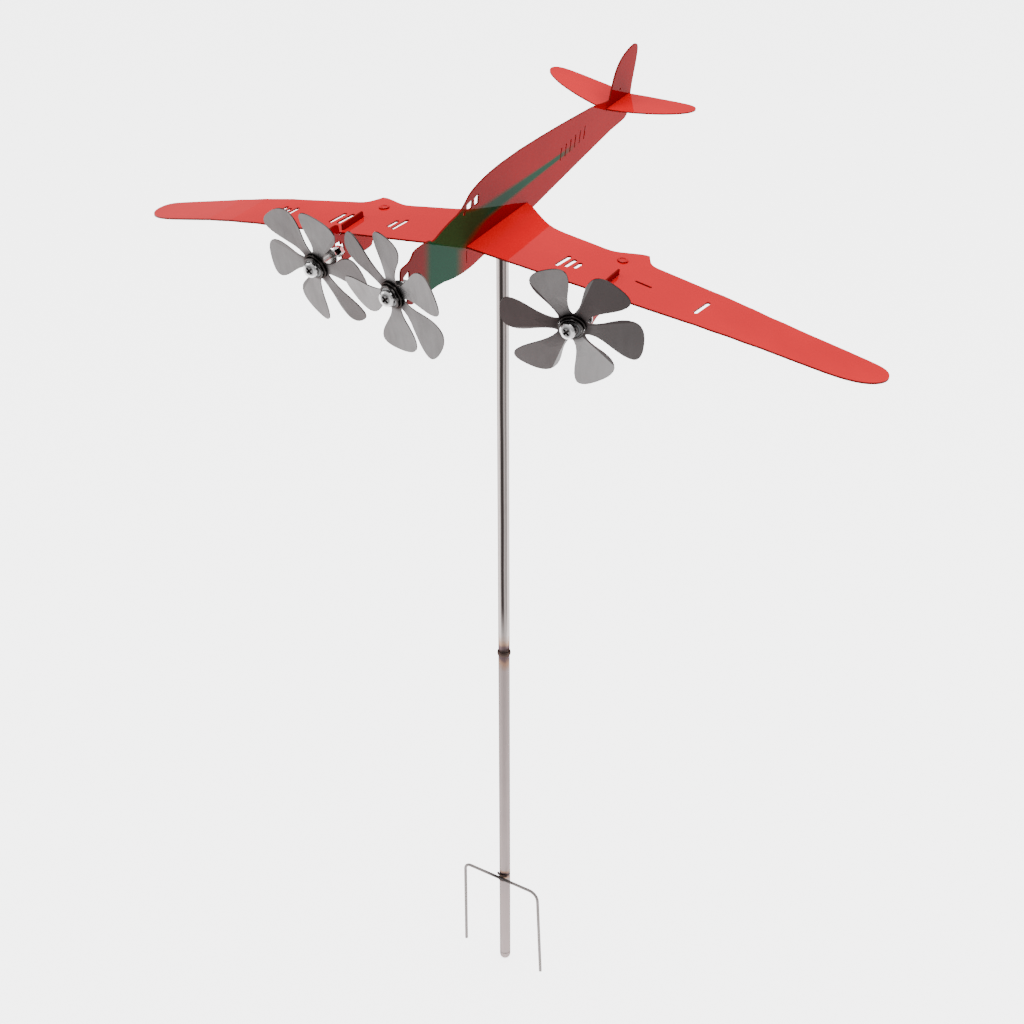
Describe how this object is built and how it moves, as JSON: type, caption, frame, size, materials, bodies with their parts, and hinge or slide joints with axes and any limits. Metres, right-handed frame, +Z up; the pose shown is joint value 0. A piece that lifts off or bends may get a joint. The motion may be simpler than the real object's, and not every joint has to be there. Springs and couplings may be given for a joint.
{
  "type": "garden whirligig",
  "caption": "Sheet-metal aeroplane whirligig with petal propellers on ball bearings, turning on a round stake with a wire fork",
  "frame": {"origin": "On the stake's axis at the height of the fork's crossbar, the soil line", "axes": "+Z up the stake, +X towards the port wing tip, nose towards -Y"},
  "size_m": [0.6478, 0.4443, 0.8232],
  "materials": {
    "red_paint": "glossy red paint",
    "brushed_stainless": "brushed",
    "stainless_tube": "drawn tube and wire",
    "bright_screw": "bright plated",
    "bearing_steel": "ground",
    "bearing_seal": "black rubber",
    "weld_bead": "burnt dark",
    "nylon": "natural nylon"
  },
  "bodies": {
    "stake": {"coupling_rod": "brushed_stainless", "fork_weld_lower": "weld_bead", "fork_weld_upper": "weld_bead", "fork_wire": "stainless_tube", "joint_weld": "weld_bead", "lower_pole": "stainless_tube", "pivot_bush": "nylon", "pole_tip": "brushed_stainless", "upper_pole": "stainless_tube"},
    "aeroplane": {"bolt_nose": "bright_screw", "bolt_port": "bright_screw", "bolt_starboard": "bright_screw", "cross_pin_lower": "bright_screw", "cross_pin_upper": "bright_screw", "fuselage_plate": "red_paint", "nacelle_plate_port": "red_paint", "nacelle_plate_starboard": "red_paint", "nut_nose": "bright_screw", "nut_port": "bright_screw", "nut_starboard": "bright_screw", "pivot_stub": "brushed_stainless", "spacer_nose": "brushed_stainless", "spacer_port": "brushed_stainless", "spacer_starboard": "brushed_stainless", "tailplane_plate": "red_paint", "washer_front_nose": "bright_screw", "washer_front_port": "bright_screw", "washer_front_starboard": "bright_screw", "washer_rear_nose": "bright_screw", "washer_rear_port": "bright_screw", "washer_rear_starboard": "bright_screw", "wing_plate": "red_paint", "wing_rivet_port": "red_paint", "wing_rivet_starboard": "red_paint"},
    "rotor_nose": {"ball_cage_nose": "bearing_steel", "hub_ring_nose": "brushed_stainless", "inner_race_nose": "bearing_steel", "outer_race_nose": "bearing_steel", "propeller_nose": "brushed_stainless", "seal_front_nose": "bearing_seal", "seal_rear_nose": "bearing_seal"},
    "rotor_port": {"ball_cage_port": "bearing_steel", "hub_ring_port": "brushed_stainless", "inner_race_port": "bearing_steel", "outer_race_port": "bearing_steel", "propeller_port": "brushed_stainless", "seal_front_port": "bearing_seal", "seal_rear_port": "bearing_seal"},
    "rotor_starboard": {"ball_cage_starboard": "bearing_steel", "hub_ring_starboard": "brushed_stainless", "inner_race_starboard": "bearing_steel", "outer_race_starboard": "bearing_steel", "propeller_starboard": "brushed_stainless", "seal_front_starboard": "bearing_seal", "seal_rear_starboard": "bearing_seal"}
  },
  "joints": [
    {"name": "stake_swivel", "type": "hinge", "parent": "stake", "child": "aeroplane", "pos_m": [0, 0, 0.63], "axis": [0, 0, 1], "continuous": true},
    {"name": "nose_spin", "type": "hinge", "parent": "aeroplane", "child": "rotor_nose", "pos_m": [0.00014, -0.1738, 0.6605], "axis": [0.3437, 0.9004, 0.2667], "continuous": true},
    {"name": "port_spin", "type": "hinge", "parent": "aeroplane", "child": "rotor_port", "pos_m": [0.10891, -0.1009, 0.62754], "axis": [-0.2326, 0.9283, 0.2902], "continuous": true},
    {"name": "starboard_spin", "type": "hinge", "parent": "aeroplane", "child": "rotor_starboard", "pos_m": [-0.11021, -0.1009, 0.63328], "axis": [0.2372, 0.9174, 0.3195], "continuous": true}
  ]
}
